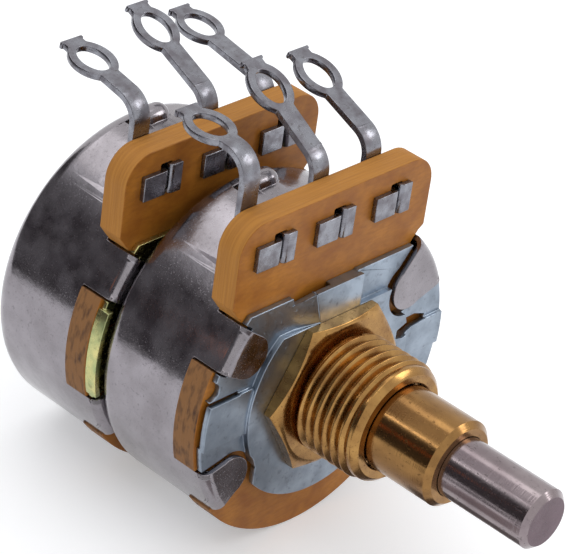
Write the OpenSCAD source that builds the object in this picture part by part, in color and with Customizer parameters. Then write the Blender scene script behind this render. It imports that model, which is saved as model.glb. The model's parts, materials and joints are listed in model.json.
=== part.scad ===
// Dual-gang rotary potentiometer with two concentric shafts.
// The shafts lie along Y and point to -Y, and the solder lugs stand up along +Z.
// The origin is on the shaft axis, in the face of the hexagon that seats on a panel.
// Sketches are drawn as seen from the front, X to the right and Z up.

/* [Bushing] */
// Major diameter of the thread
thread_d = 9; // [8.6:0.1:9.6]
// Length of the bushing in front of the hexagon
bushing_l = 5.3; // [4:0.1:12]
// How much the smooth nose in front of the thread is thinner, as a radius
nose_step = 0.2; // [0.2:0.05:0.4]
// Length of the smooth nose
nose_l = 0.8; // [0.4:0.1:1.5]
// Hexagon across its flats
hex_af = 11; // [10.4:0.1:12]
// Thickness of the hexagon
hex_h = 1.1; // [0.8:0.1:2]
// Diameter of the neck that is staked through the base plate
neck_d = 8; // [7.6:0.1:8.4]
// How far the staked lip stands out behind the base plate
stake_lip = 0.5; // [0.3:0.05:0.7]
// Thickness of a staked lip
stake_h = 0.4; // [0.3:0.05:0.5]

/* [Shafts] */
// Diameter of the outer, tubular shaft
outer_shaft_d = 6.35; // [6:0.05:6.6]
// How far the outer shaft stands out of the bushing
outer_shaft_l = 5.45; // [3:0.05:12]
// Diameter of the inner, solid shaft
inner_shaft_d = 4.4; // [3.6:0.1:4.6]
// How far the inner shaft stands out of the outer one
inner_shaft_l = 7.4; // [4:0.1:15]
// Running clearance of each shaft in its bore, as a radius
shaft_gap = 0.05; // [0.03:0.01:0.08]
// Chamfer at the front end of each shaft
shaft_chamfer = 0.4; // [0.2:0.05:0.6]
// Depth of the relief groove just inside the mouth that a shaft comes out of
relief_depth = 0.2; // [0.2:0.05:0.3]
// Width of that groove
relief_w = 0.6; // [0.6:0.1:1]
// Thickness of a retaining clip
clip_t = 0.5; // [0.4:0.05:0.6]
// Depth of the groove that a retaining clip snaps into
clip_groove = 0.3; // [0.2:0.05:0.35]
// Width of a retaining clip's ring, as a radius
clip_ring = 1.4; // [1:0.1:1.5]

/* [Sheet metal] */
// Thickness of the base plates
plate_t = 0.45; // [0.4:0.05:0.6]
// Diameter of the raised hub of a base plate
hub_d = 15.44; // [15:0.1:15.8]
// Diameter over the lower edge of a base plate's hub
hub_low_d = 17.2; // [16.4:0.1:18]
// How far the legs of a base plate stay inside the outside of the cans
legs_gap = 0.1; // [0.05:0.05:0.3]
// Height of the legs' straight upper edge above the shaft axis
legs_top = 8.1; // [7.9:0.1:8.8]
// How far the raised pad on each leg stands in front of it
pad_rise = 0.25; // [0.1:0.05:0.35]
// Diameter of the cans
can_d = 23.4; // [23:0.1:23.6]
// Thickness of the cans' wall
can_wall = 0.4; // [0.3:0.05:0.5]
// Depth of a can from its rim to its back
can_depth = 7.7; // [7.4:0.1:12]
// Outer radius of the round edge at the back of a can
can_edge_r = 1.5; // [0.8:0.1:2.2]
// Outer radius of the bend of a crimped tab
tab_bend_r = 0.75; // [0.55:0.05:1]

/* [Boards] */
// Thickness of the element boards
board_t = 2; // [1.6:0.1:2.4]
// How far the element boards stand out past the outside of the cans
board_edge = 0.13; // [0.05:0.01:0.2]
// Width of the terminal tongue
tongue_w = 18.4; // [17.6:0.1:20]
// Height of the tongue's upper edge above the shaft axis
tongue_top = 14.8; // [14.4:0.1:17]
// Radius of the tongue's rounded corners
tongue_corner_r = 2.2; // [1:0.1:3]
// How far the terminals lie to the left of the shaft axis
terminal_shift = 0.55; // [0:0.05:1]
// Diameter of the hole through a board
board_hole_d = 10.4; // [10:0.1:11]

/* [Terminals] */
// Distance from one lug to the next
lug_pitch = 5.55; // [5:0.05:5.8]
// Width of a lug's stem
lug_w = 1.5; // [1.2:0.1:1.8]
// Thickness of the lugs
lug_t = 0.5; // [0.4:0.05:0.6]
// Radius on the front of the lug's bend
lug_bend_r = 2; // [1.6:0.1:2.2]
// Length of a lug along its metal, from the board's upper edge to the middle of its eyelet
lug_length = 7.2; // [6.8:0.1:9]
// Width of the oval hole in the eyelet
eyelet_hole_w = 2; // [1.4:0.1:2.4]
// Length of the oval hole in the eyelet
eyelet_hole_l = 2.7; // [2.5:0.1:3.4]
// Width of metal round the eyelet's hole
eyelet_rim = 0.6; // [0.4:0.05:0.8]
// Height of the clinched pad on the left of each slot
pad_left_h = 1.8; // [1.4:0.1:2.2]
// Length of that pad
pad_left = 2.2; // [1.6:0.1:2.6]
// Height of the clinched pad on the right of each slot
pad_right_h = 2.2; // [1.8:0.1:2.6]
// Length of that pad
pad_right = 1.1; // [0.8:0.1:1.6]

/* [Turning parts] */
// Total angle that each shaft turns through, in degrees
travel = 300; // [240:5:300]
// Gap between a rotor's edge and the inside of its can
rotor_gap = 2; // [1.8:0.1:2.6]
// Thickness of the rotors
rotor_t = 1.4; // [1:0.1:1.8]
// Gap between the resistive track and the inside of its can
track_gap = 1.3; // [1:0.1:1.8]
// Width of the resistive track
track_w = 2.3; // [1.8:0.1:2.6]
// Thickness of the tracks and contact rings
track_t = 0.15; // [0.1:0.05:0.25]
// Gap left between a wiper and the tracks
wiper_gap = 0.12; // [0.08:0.02:0.2]

/* [Hidden] */
$fn = 96;

// Clearance between pieces that are pressed or staked together
fit_gap = 0.02;
// Length that every cutting body runs past what it cuts
past = 1;

// Radii
thread_r = thread_d / 2;
nose_r = thread_r - nose_step;
nose_chamfer = 0.4;
hex_r = hex_af / 2 / cos(30);
neck_r = neck_d / 2;
outer_shaft_r = outer_shaft_d / 2;
inner_shaft_r = inner_shaft_d / 2;
bushing_bore_r = outer_shaft_r + shaft_gap;
tube_bore_r = inner_shaft_r + shaft_gap;
hub_r = hub_d / 2;
hub_low_r = hub_low_d / 2;
can_r = can_d / 2;
can_inner_r = can_r - can_wall;
legs_r = can_r - legs_gap;
board_r = can_r + board_edge;
board_hole_r = board_hole_d / 2;
rotor_r = can_inner_r - rotor_gap;
track_outer_r = can_inner_r - track_gap;
track_inner_r = track_outer_r - track_w;
collector_r = track_inner_r - 1.2;

// Stations along Y, each measured from the front of a gang's hub.
// A crimped tab lies on the low legs, just behind the front of the hub.
tab_relief = 0.05;
leg_y = can_wall + tab_relief;
board_y = leg_y + plate_t;
rim_y = board_y + board_t;
gang_pitch = rim_y + can_depth;
opening_depth = 2.1;
stop_y = rim_y + opening_depth;
front_gang = hex_h;
rear_gang = hex_h + gang_pitch;

// Rear bearing: an eyelet through the front can's back and the rear hub
bearing_wall = 1;
bearing_r = tube_bore_r + bearing_wall;
bearing_lip_r = bearing_r + stake_lip;
hub_back_y = plate_t;
clip_gap = 0.05;
outer_clip_y = front_gang + hub_back_y + stake_h + clip_gap;
inner_clip_y = rear_gang + hub_back_y + stake_h + clip_gap;

// Rotors behind the boards, with the wiper between
wiper_t = 0.3;
wiper_drop = 0.9;
wiper_y = rim_y + track_t + wiper_gap;
wiper_back_y = wiper_y + wiper_drop;
rotor_y = wiper_back_y + fit_gap;
rotor_back_y = rotor_y + rotor_t;
hub_length = 1.2;
rotor_end_y = rotor_back_y + hub_length;
rotor_hub_wall = 1.3;
key_depth = 0.45;

// Stop tongue bent in from the can's wall, and the rotor's nib that runs against it
stop_half_angle = 6.5;
stop_gap = 0.35;
nib_r = can_inner_r - stop_gap;
nib_half_angle = (360 - travel) / 2 - stop_half_angle - 1.5;
stop_inner_r = rotor_r + stop_gap;

// Crimped tabs: direction of the middle, half width at the wall, reach in from the outside
// of the can, radius of the round end
TAB_UL = [148, 1.7, 3.5, 1.6];
TAB_UR = [34, 2.6, 4.6, 1.75];
TAB_LR = [-27, 1.9, 3.5, 1.6];
TAB_LL = [-154, 2.1, 3.6, 1.6];
TABS = [TAB_UL, TAB_UR, TAB_LR, TAB_LL];
tab_notch_gap = 0.15;

// Raised part of the hub above the hexagon. Its left edge leans and its left side slants back.
shoulder_left = -1.9;
shoulder_right = 2;
shoulder_z = 5.55;
shoulder_top = 8;
shoulder_lean = 17;
shoulder_slant = 1.9;
// How far the raised pads reach above and below the shaft axis
pad_low = 1;
left_pad_top = 2.4;
right_pad_top = 1.4;

// Bend of each lug from left to right: slope of its bent part above the horizontal, how far above
// the board's upper edge the bend starts, and how far the stem stands to the right
FRONT_BENDS = [[6, 1.9, -0.85], [30, 0.1, 0.35], [22, 0, -0.1]];
REAR_BENDS = [[11, 0.9, -0.35], [24, -0.2, 0.6], [10, -1.15, 0.75]];

slot_x = [for (k = [-1, 0, 1]) k * lug_pitch - terminal_shift];
slot_z = 12.4;
slot_h = pad_right_h + 0.1;
stem_shift = 0.3;
lug_foot = 10.9;
lug_foot_w = 2.6;
prong_t = 0.4;
prong_gap = 0.12;
pad_t = 0.42;

brass = "#B98A3C";
steel = "#8E8A90";
tin = "#B9B6B4";
zinc = "#A9B8C0";
phenolic = "#C98F3A";
bakelite = "#4A3022";
carbon = "#202020";
silvered = "#C9C9C4";
spring = "#C7A25A";

// A sketch seen from the front, from y0 back to y1
module slab(y0, y1) {
    translate([0, y1, 0]) rotate([90, 0, 0]) linear_extrude(height = y1 - y0) children();
}

// A profile of radius and Y, turned round the shaft axis
module turned() {
    rotate([-90, 0, 0]) rotate_extrude() children();
}

// The same over the angles a0 to a1 as seen from the front
module turned_arc(a0, a1) {
    rotate([-90, 0, 0]) rotate([0, 0, -a1]) rotate_extrude(angle = a1 - a0) children();
}

// A straight-sided band of a turned profile
module band(r0, r1, y0, y1) {
    translate([r0, y0]) square([r1 - r0, y1 - y0]);
}

module ring(r0, r1) {
    difference() {
        circle(r1);
        circle(r0);
    }
}

// Sector of a disc between two angles less than 180 degrees apart
module sector(r, a0, a1) {
    reach = r / cos((a1 - a0) / 2) + past;
    intersection() {
        circle(r);
        polygon([[0, 0], reach * [cos(a0), sin(a0)], reach * [cos((a0 + a1) / 2), sin((a0 + a1) / 2)],
                 reach * [cos(a1), sin(a1)]]);
    }
}

// Half profile of a closed block with a round edge at its back
module round_back(r, y0, y1, corner) {
    band(0, r - corner, y0, y1);
    band(0, r, y0, y1 - corner);
    translate([r - corner, y1 - corner]) circle(corner);
}

// Half profile of a closed block with a round edge at its front
module round_front(r, y0, y1, corner) {
    band(0, r - corner, y0, y1);
    band(0, r, y0 + corner, y1);
    translate([r - corner, y0 + corner]) circle(corner);
}

// Outline of a crimped tab, with a round inner end and a wider foot
module tab_outline(tab, grow = 0) {
    end_r = tab[3];
    centre = can_r - tab[2] + end_r;
    rotate(tab[0]) {
        translate([centre, 0]) circle(end_r + grow);
        polygon([[centre, -end_r - grow], [can_r, -tab[1] - grow], [can_r + past, -tab[1] - grow],
                 [can_r + past, tab[1] + grow], [can_r, tab[1] + grow], [centre, end_r + grow]]);
    }
}

// Edge notches that let the can's tabs pass a board or a plate
module tab_notches(tabs) {
    for (tab = tabs)
        intersection() {
            tab_outline(tab, tab_notch_gap);
            ring(can_r - tab_bend_r - tab_notch_gap, board_r + 2 * past);
        }
}

// Bushing with its hexagon, staked into the front plate
module bushing() {
    front = -bushing_l;
    back = front_gang + hub_back_y + stake_h;
    color(brass) difference() {
        union() {
            intersection() {
                slab(0, hex_h) circle(hex_r, $fn = 6);
                turned() polygon([[0, 0], [hex_af / 2 - 0.25, 0], [hex_r + 0.05, hex_h / 2],
                                  [hex_r + 0.05, hex_h], [0, hex_h]]);
            }
            turned() {
                polygon([[0, front], [nose_r - nose_chamfer, front], [nose_r, front + nose_chamfer],
                         [nose_r, front + nose_l], [thread_r, front + nose_l + nose_step],
                         [thread_r, 0.1], [0, 0.1]]);
                band(0, neck_r, hex_h - 0.1, back);
                polygon([[0, back - stake_h], [neck_r + stake_lip, back - stake_h],
                         [neck_r + stake_lip, back - stake_h / 2], [neck_r, back], [0, back]]);
            }
        }
        turned() {
            band(0, bushing_bore_r, front - past, back + past);
            polygon([[0, front - past], [bushing_bore_r + 0.1 + past, front - past],
                     [bushing_bore_r, front + 0.1], [0, front + 0.1]]);
        }
    }
}

// Notches round the two tabs that lie free of the plate
module free_tab_notches() {
    upper_gap = 0.3;
    upper_centre = can_r - TAB_UR[2] + TAB_UR[3] - 0.2;
    lower_r = 2.2;
    lower = (can_r - 1.9) * [cos(151.3), -sin(151.3)];
    tab_outline(TAB_UR, upper_gap);
    rotate(TAB_UR[0]) translate([upper_centre, 0]) circle(TAB_UR[3] + upper_gap);
    translate(lower) circle(lower_r);
    polygon([lower + [0, lower_r], lower + [-4.2, 1.4], lower + [-4.2, -can_r], lower + [lower_r, -can_r],
             lower + [lower_r, 0]]);
}

// Low, outer part of a base plate, up to its straight upper edge
module legs_outline() {
    lowest = -3.7;
    intersection() {
        circle(legs_r);
        translate([-legs_r, lowest]) square([2 * legs_r, legs_top - lowest]);
    }
}

// Raised pads on the legs
module pads_outline(side_z = 0) {
    low = -pad_low - side_z;
    pad_l = legs_r - hub_r + 0.3;
    intersection() {
        circle(legs_r);
        union() {
            translate([-legs_r, low]) square([pad_l, left_pad_top - low]);
            translate([hub_r - 0.3, low]) square([pad_l, right_pad_top - low]);
        }
    }
}

// Front of the raised part above the hexagon
module shoulder_outline(inset = 0) {
    rise = shoulder_top - inset - shoulder_z;
    polygon([[shoulder_left + inset, 0], [shoulder_left + inset, shoulder_z],
             [shoulder_left + inset - rise * tan(shoulder_lean), shoulder_z + rise],
             [shoulder_right - inset, shoulder_z + rise], [shoulder_right - inset, 0]]);
}

// Raised hub, cut straight above the hexagon but for the raised part in the middle
module hub_outline(inset = 0) {
    intersection() {
        circle(hub_r - inset);
        translate([-hub_r, -hub_r]) square([2 * hub_r, hub_r + shoulder_z - inset]);
    }
    shoulder_outline(inset);
}

// Notches round tabs, the slit above the left pad and the long one above the right pad
module plate_cuts() {
    slit_h = 0.24;
    free_tab_notches();
    tab_notches([TAB_UL, TAB_LR]);
    rotate(163.5) translate([legs_r + 0.1, 0]) circle(0.7);
    translate([-legs_r - past, left_pad_top - 0.1]) square([legs_r + past - 8.7, slit_h]);
    polygon([[hub_r - 1.2, 1], [hub_r - 0.4, 0.8], [hub_r + 0.6, 1.25], [legs_r - 1.85, 1.35],
             [legs_r - 1.75, 1.65], [hub_r + 1, 2.05], [hub_r - 0.4, 2], [hub_r - 1.2, 1.7]]);
}

// Formed base plate: raised hub, stepped wall round it, low legs and raised pads
module base_plate(y, hole_r) {
    back = y + board_y;
    low_edge_z = -4.2;
    low_half_w = 6.4;
    fold_z = shoulder_z - 0.2;
    fold_l = (shoulder_top - fold_z) / cos(shoulder_lean);
    difference() {
        union() {
            difference() {
                slab(y, back) hub_outline();
                slab(y + plate_t, back + past) {
                    hub_outline(plate_t);
                    translate([-hub_r - past, -hub_r - past]) square([2 * (hub_r + past), hub_r + past + low_edge_z]);
                    translate([shoulder_left - 3, shoulder_z + 0.1]) square([4, hub_r]);
                }
            }
            slab(y, y + plate_t) difference() {
                intersection() {
                    circle(hub_low_r);
                    translate([-low_half_w, -hub_low_r]) square([2 * low_half_w, hub_low_r + low_edge_z - 0.2]);
                }
                circle(hub_r - plate_t / 3);
            }
            slab(y + leg_y, back) difference() {
                legs_outline();
                hub_outline(plate_t / 2);
                pads_outline();
                polygon([[shoulder_left - shoulder_slant + 0.2, shoulder_z - 0.1],
                         [shoulder_left - shoulder_slant + 0.2 - 3 * tan(shoulder_lean), shoulder_z + 2.9],
                         [shoulder_right - 0.2, shoulder_z + 2.9], [shoulder_right - 0.2, shoulder_z - 0.1]]);
            }
            slab(y + leg_y - pad_rise, back - pad_rise) difference() {
                pads_outline(0.2);
                circle(hub_r - plate_t / 4);
            }
            // Slanted side of the raised part above the hexagon
            translate([shoulder_left, 0, fold_z]) rotate([0, -shoulder_lean, 0])
                linear_extrude(height = fold_l)
                    polygon([[0.1, y], [-shoulder_slant, y + leg_y], [-shoulder_slant, back],
                             [0.1, y + plate_t]]);
        }
        slab(y - past, back + past) {
            circle(hole_r);
            plate_cuts();
        }
    }
}

module front_plate() {
    color(zinc) base_plate(front_gang, neck_r + fit_gap);
}

module rear_plate() {
    flange_y = rear_gang - 0.1;
    flange_low = -2.6;
    flange_top = 4;
    color(zinc) {
        base_plate(rear_gang, bearing_r + fit_gap);
        // Flange bent forward from the left pad
        intersection() {
            turned_arc(150, 200) band(can_r - 0.35, can_r + 0.1, flange_y, rear_gang + board_y);
            slab(flange_y, rear_gang + board_y) translate([-board_r, flange_low])
                square([4, flange_top - flange_low]);
        }
    }
}

// Element board with its tongue for the terminals
module board(y) {
    left = -tongue_w / 2 - terminal_shift;
    right = tongue_w / 2 - terminal_shift;
    foot = 8.9;
    corner = tongue_corner_r;
    slab(y + board_y, y + board_y + board_t) difference() {
        union() {
            circle(board_r);
            polygon([[left, foot], [left + 0.75, foot - 1], [right - 0.85, foot - 1], [right, foot],
                     [right, tongue_top - corner], [left, tongue_top - corner]]);
            translate([left + corner, foot]) square([tongue_w - 2 * corner, tongue_top - foot]);
            for (x = [left + corner, right - corner])
                translate([x, tongue_top - corner]) circle(corner);
        }
        circle(board_hole_r);
        tab_notches(TABS);
        for (x = slot_x)
            translate([x, slot_z]) square([2 * prong_t + prong_gap + 0.1, slot_h], center = true);
    }
}

module front_board() {
    color(phenolic) board(front_gang);
}

module rear_board() {
    color(phenolic) board(rear_gang);
}

// Resistive track with a leg to each outer terminal
module track(y) {
    gap_angle = 34;
    leg_w = 1.6;
    leg_top = lug_foot - 0.03;
    slab(y + rim_y, y + rim_y + track_t) {
        difference() {
            ring(track_inner_r, track_outer_r);
            sector(track_outer_r + past, 90 - gap_angle, 90 + gap_angle);
        }
        for (k = [0, 2])
            difference() {
                translate([slot_x[k] - leg_w / 2, 5]) square([leg_w, leg_top - 5]);
                circle((track_inner_r + track_outer_r) / 2);
            }
    }
}

module front_track() {
    color(carbon) track(front_gang);
}

module rear_track() {
    color(carbon) track(rear_gang);
}

// Contact ring with an arm to the centre terminal
module collector(y) {
    arm_w = 1.4;
    slab(y + rim_y, y + rim_y + track_t) difference() {
        union() {
            circle(collector_r);
            translate([slot_x[1] - arm_w / 2, 0]) square([arm_w, lug_foot - 0.03]);
        }
        circle(board_hole_r + 0.1);
    }
}

module front_collector() {
    color(silvered) collector(front_gang);
}

module rear_collector() {
    color(silvered) collector(rear_gang);
}

// Oval of four arcs, l long along X and w wide
module oval(l, w) {
    end_r = 0.4 * w;
    end_x = l / 2 - end_r;
    side_r = (end_x * end_x + w * w / 4 - end_r * end_r) / (w - 2 * end_r);
    side_z = side_r - w / 2;
    join_x = end_x * side_r / (side_r - end_r);
    intersection() {
        translate([0, side_z]) circle(side_r);
        translate([0, -side_z]) circle(side_r);
        square([2 * join_x, 2 * w], center = true);
    }
    for (s = [-1, 1]) translate([s * end_x, 0]) circle(end_r);
}

// Flat form of the bent part of a lug, along +X from the bend, with a short bar at its tip
module lug_flat(reach) {
    rim_l = eyelet_hole_l + 2 * eyelet_rim;
    rim_w = eyelet_hole_w + 2 * eyelet_rim;
    tip = reach + rim_l / 2;
    tip_w = 1.6;
    bar_w = 1.9;
    bar_t = 0.25;
    difference() {
        union() {
            translate([-0.05, -lug_w / 2]) square([reach - eyelet_hole_l / 2 + 0.05, lug_w]);
            translate([reach, 0]) oval(rim_l, rim_w);
            translate([tip - 0.5, -tip_w / 2]) square([0.9, tip_w]);
            translate([tip + 0.4 - bar_t, -bar_w / 2]) square([bar_t, bar_w]);
        }
        translate([reach, 0]) oval(eyelet_hole_l, eyelet_hole_w);
    }
}

// One prong of a clinch from above: through the board, then folded out along its front
module prong(y, pad_l) {
    front = y + board_y - pad_t;
    back = y + rim_y + lug_t / 2;
    bend = 0.35;
    half = prong_gap / 2;
    translate([half, front + bend]) square([prong_t, back - front - bend]);
    translate([half + bend, front]) square([pad_l - bend, pad_t]);
    translate([half + bend, front + bend]) intersection() {
        circle(bend);
        translate([-bend, -bend]) square(bend + 0.01);
    }
}

// Solder lug: foot behind the board, stem, bend, eyelet, and prongs clinched through the slot
module lug(y, x, bend) {
    face = y + rim_y;
    stem_x = x - stem_shift + bend[2];
    stem_top = tongue_top + bend[1];
    outer_bend = lug_bend_r;
    inner_bend = lug_bend_r - lug_t;
    swing = 90 - bend[0];
    reach = lug_length - bend[1] - swing * PI / 180 * lug_bend_r;
    slot_low = slot_z - pad_right_h / 2;
    translate([x, 0, slot_low + 0.1]) linear_extrude(height = pad_left_h) mirror([1, 0]) prong(y, pad_left);
    translate([x, 0, slot_low]) linear_extrude(height = pad_right_h) prong(y, pad_right);
    slab(face, face + lug_t) translate([x - lug_foot_w / 2, lug_foot])
        square([lug_foot_w, slot_low + pad_right_h - lug_foot + 0.1]);
    slab(face, face + lug_t) translate([stem_x - lug_w / 2, lug_foot]) square([lug_w, stem_top - lug_foot]);
    translate([stem_x, face + lug_bend_r, stem_top]) {
        rotate([90, 0, 90]) translate([0, 0, -lug_w / 2]) linear_extrude(height = lug_w)
            intersection() {
                ring(inner_bend, outer_bend);
                polygon([[0, 0], [-2 * outer_bend, 0], [-2 * outer_bend, 2 * outer_bend],
                         2 * outer_bend * [-cos(swing), sin(swing)]]);
            }
        rotate([-swing, 0, 0]) translate([0, -outer_bend, 0]) rotate([0, -90, -90])
            linear_extrude(height = lug_t) lug_flat(reach);
    }
}

module front_lug_left() {
    color(steel) lug(front_gang, slot_x[0], FRONT_BENDS[0]);
}

module front_lug_centre() {
    color(steel) lug(front_gang, slot_x[1], FRONT_BENDS[1]);
}

module front_lug_right() {
    color(steel) lug(front_gang, slot_x[2], FRONT_BENDS[2]);
}

module rear_lug_left() {
    color(steel) lug(rear_gang, slot_x[0], REAR_BENDS[0]);
}

module rear_lug_centre() {
    color(steel) lug(rear_gang, slot_x[1], REAR_BENDS[1]);
}

module rear_lug_right() {
    color(steel) lug(rear_gang, slot_x[2], REAR_BENDS[2]);
}

// Lanced hood on a can's top, round over its open left end
module hood(y, r) {
    hood_l = 1.4;
    translate([-hood_l / 2 - 0.3, y, can_r - 0.15]) {
        rotate([0, 90, 0]) cylinder(r = r, h = hood_l);
        translate([hood_l, 0, 0]) sphere(r);
    }
}

// Drawn can: crimped tabs in front, opening for the lugs, stop tongue and lanced hood
module can(y, back_hole_r = 0) {
    rim = y + rim_y;
    back = y + gang_pitch;
    front = y + tab_relief;
    opening_w = 14;
    opening_corner = 0.8;
    hood_r = 0.95;
    hood_t = 0.32;
    hood_y = rim + 5.6;
    difference() {
        union() {
            difference() {
                turned() difference() {
                    round_back(can_r, rim, back, can_edge_r);
                    round_back(can_inner_r, rim - past, back - can_wall, can_edge_r - can_wall);
                }
                // Opening behind the tongue
                translate([-terminal_shift, 0, 0]) linear_extrude(height = 2 * can_r) {
                    translate([-opening_w / 2, rim - past])
                        square([opening_w, opening_depth + past - opening_corner]);
                    translate([-opening_w / 2 + opening_corner, rim - past])
                        square([opening_w - 2 * opening_corner, opening_depth + past]);
                    for (s = [-1, 1])
                        translate([s * (opening_w / 2 - opening_corner), rim + opening_depth - opening_corner])
                            circle(opening_corner);
                }
            }
            // Tabs folded over the base plate
            intersection() {
                turned() difference() {
                    round_front(can_r, front, rim + 0.5, tab_bend_r);
                    round_front(can_inner_r, front + can_wall, rim + past, tab_bend_r - can_wall);
                }
                slab(front - past, rim + past) for (tab = TABS) tab_outline(tab);
            }
            // Stop tongue bent in at the rear edge of the opening
            turned_arc(90 - stop_half_angle, 90 + stop_half_angle)
                band(stop_inner_r, can_r - can_wall / 2, y + stop_y, y + stop_y + can_wall);
            difference() {
                hood(hood_y, hood_r);
                turned() band(0, can_r - can_wall / 2, rim, back);
            }
        }
        hood(hood_y, hood_r - hood_t);
        translate([-2, hood_y, can_r - 0.15]) rotate([0, 90, 0]) cylinder(r = hood_r - hood_t, h = 2);
        if (back_hole_r > 0) slab(back - 2 * can_wall, back + past) circle(back_hole_r);
    }
}

module front_can() {
    color(tin) can(front_gang, bearing_r + fit_gap);
}

module rear_can() {
    color(tin) can(rear_gang);
}

// Flanged eyelet that stakes the rear plate to the front can and carries the inner shaft
module rear_bearing() {
    flange_t = 0.5;
    can_inside = rear_gang - can_wall;
    plate_back = rear_gang + hub_back_y;
    color(brass) turned() {
        band(tube_bore_r, bearing_r, can_inside - flange_t, plate_back + stake_h);
        band(tube_bore_r, bearing_r + 1, can_inside - flange_t, can_inside);
        band(tube_bore_r, bearing_lip_r, plate_back, plate_back + stake_h);
    }
}

// Two flats that key a rotor to its shaft
module key_outline(r, gap = 0) {
    intersection() {
        circle(r + gap);
        square([2 * (r - key_depth + gap), 3 * r], center = true);
    }
}

// Shallow groove round a shaft, just inside the mouth that it comes out of
module relief(r, mouth_y) {
    turned() band(r - relief_depth, r + past, mouth_y, mouth_y + relief_w);
}

// Tubular outer shaft, keyed for the front rotor
module outer_shaft() {
    front = -bushing_l - outer_shaft_l;
    groove_y = outer_clip_y;
    key_y = front_gang + rotor_y - 0.2;
    end_y = front_gang + rotor_end_y;
    color(brass) difference() {
        union() {
            turned() polygon([[0, front], [outer_shaft_r - shaft_chamfer, front],
                              [outer_shaft_r, front + shaft_chamfer], [outer_shaft_r, groove_y],
                              [outer_shaft_r - clip_groove, groove_y],
                              [outer_shaft_r - clip_groove, groove_y + clip_t + clip_gap],
                              [outer_shaft_r, groove_y + clip_t + clip_gap], [outer_shaft_r, key_y], [0, key_y]]);
            slab(key_y - 0.1, end_y) key_outline(outer_shaft_r);
        }
        turned() band(0, tube_bore_r, front - past, end_y + past);
        relief(outer_shaft_r, -bushing_l);
    }
}

// Solid inner shaft, keyed for the rear rotor
module inner_shaft() {
    front = -bushing_l - outer_shaft_l - inner_shaft_l;
    groove_y = inner_clip_y;
    key_y = rear_gang + rotor_y - 0.2;
    end_y = rear_gang + rotor_end_y;
    color(steel) difference() {
        union() {
            turned() polygon([[0, front], [inner_shaft_r - shaft_chamfer, front],
                              [inner_shaft_r, front + shaft_chamfer], [inner_shaft_r, groove_y],
                              [inner_shaft_r - clip_groove, groove_y],
                              [inner_shaft_r - clip_groove, groove_y + clip_t + clip_gap],
                              [inner_shaft_r, groove_y + clip_t + clip_gap], [inner_shaft_r, key_y], [0, key_y]]);
            slab(key_y - 0.1, end_y) key_outline(inner_shaft_r);
        }
        relief(inner_shaft_r, -bushing_l - outer_shaft_l);
    }
}

// Retaining clip: a C-shaped ring in the shaft's groove
module clip(r, y) {
    bore = r - clip_groove + fit_gap;
    mouth = bore * 1.5;
    slab(y + fit_gap, y + clip_t) difference() {
        ring(bore, r + clip_ring);
        translate([-mouth / 2, 0]) square([mouth, r + clip_ring + past]);
    }
}

module outer_clip() {
    color(spring) clip(outer_shaft_r, outer_clip_y);
}

module inner_clip() {
    color(spring) clip(inner_shaft_r, inner_clip_y);
}

// Rotor disc with a keyed hub and the nib that meets the stop, pointing down in mid travel
module rotor(y, r) {
    hub_r = r + rotor_hub_wall;
    difference() {
        union() {
            slab(y + rotor_y, y + rotor_back_y) {
                circle(rotor_r);
                sector(nib_r, -90 - nib_half_angle, -90 + nib_half_angle);
            }
            slab(y + rotor_back_y - 0.1, y + rotor_end_y) circle(hub_r);
        }
        slab(y + rotor_y - past, y + rotor_end_y + past) key_outline(r, fit_gap);
    }
}

module front_rotor() {
    color(bakelite) rotor(front_gang, outer_shaft_r);
}

module rear_rotor() {
    color(bakelite) rotor(rear_gang, inner_shaft_r);
}

// Wiper: a flat spring on the rotor with one finger for the track and one for the contact ring
module wiper(y) {
    back = y + wiper_back_y;
    ring_r = board_hole_r - 0.6;
    arm_w = 5;
    finger_w = 1.1;
    run = 2.2;
    front = y + wiper_y;
    slab(back - wiper_t, back) difference() {
        union() {
            circle(ring_r + 0.5);
            translate([-arm_w / 2, -track_outer_r + 1]) square([arm_w, track_outer_r - 1]);
        }
        circle(ring_r - 1);
        translate([-arm_w / 2 + 0.5, -track_outer_r + 0.4]) square([arm_w - 1, 5.5]);
    }
    for (r = [(track_inner_r + track_outer_r) / 2, (board_hole_r + 0.1 + collector_r) / 2])
        translate([0, 0, -r - finger_w / 2]) linear_extrude(height = finger_w)
            polygon([[-arm_w / 2 + 0.1, back], [-arm_w / 2 + 0.1, back - wiper_t], [run - 0.5, front],
                     [run, front], [run, front + wiper_t], [-arm_w / 2 + 0.9, back]]);
}

module front_wiper() {
    color(spring) wiper(front_gang);
}

module rear_wiper() {
    color(spring) wiper(rear_gang);
}

bushing();
front_plate();
front_board();
front_track();
front_collector();
front_lug_left();
front_lug_centre();
front_lug_right();
front_can();
rear_bearing();
rear_plate();
rear_board();
rear_track();
rear_collector();
rear_lug_left();
rear_lug_centre();
rear_lug_right();
rear_can();
outer_shaft();
outer_clip();
front_rotor();
front_wiper();
inner_shaft();
inner_clip();
rear_rotor();
rear_wiper();
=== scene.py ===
"""Looks of a dual-gang rotary potentiometer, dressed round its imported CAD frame.

The shaft axis is Y, the shafts point to -Y and the solder lugs stand up along +Z.
Sizes are in millimetres here and become metres where they enter Blender.
"""

import json
import logging
import math
from dataclasses import dataclass
from enum import Enum

import bmesh
import bpy
from mathutils import Matrix, Vector

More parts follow.
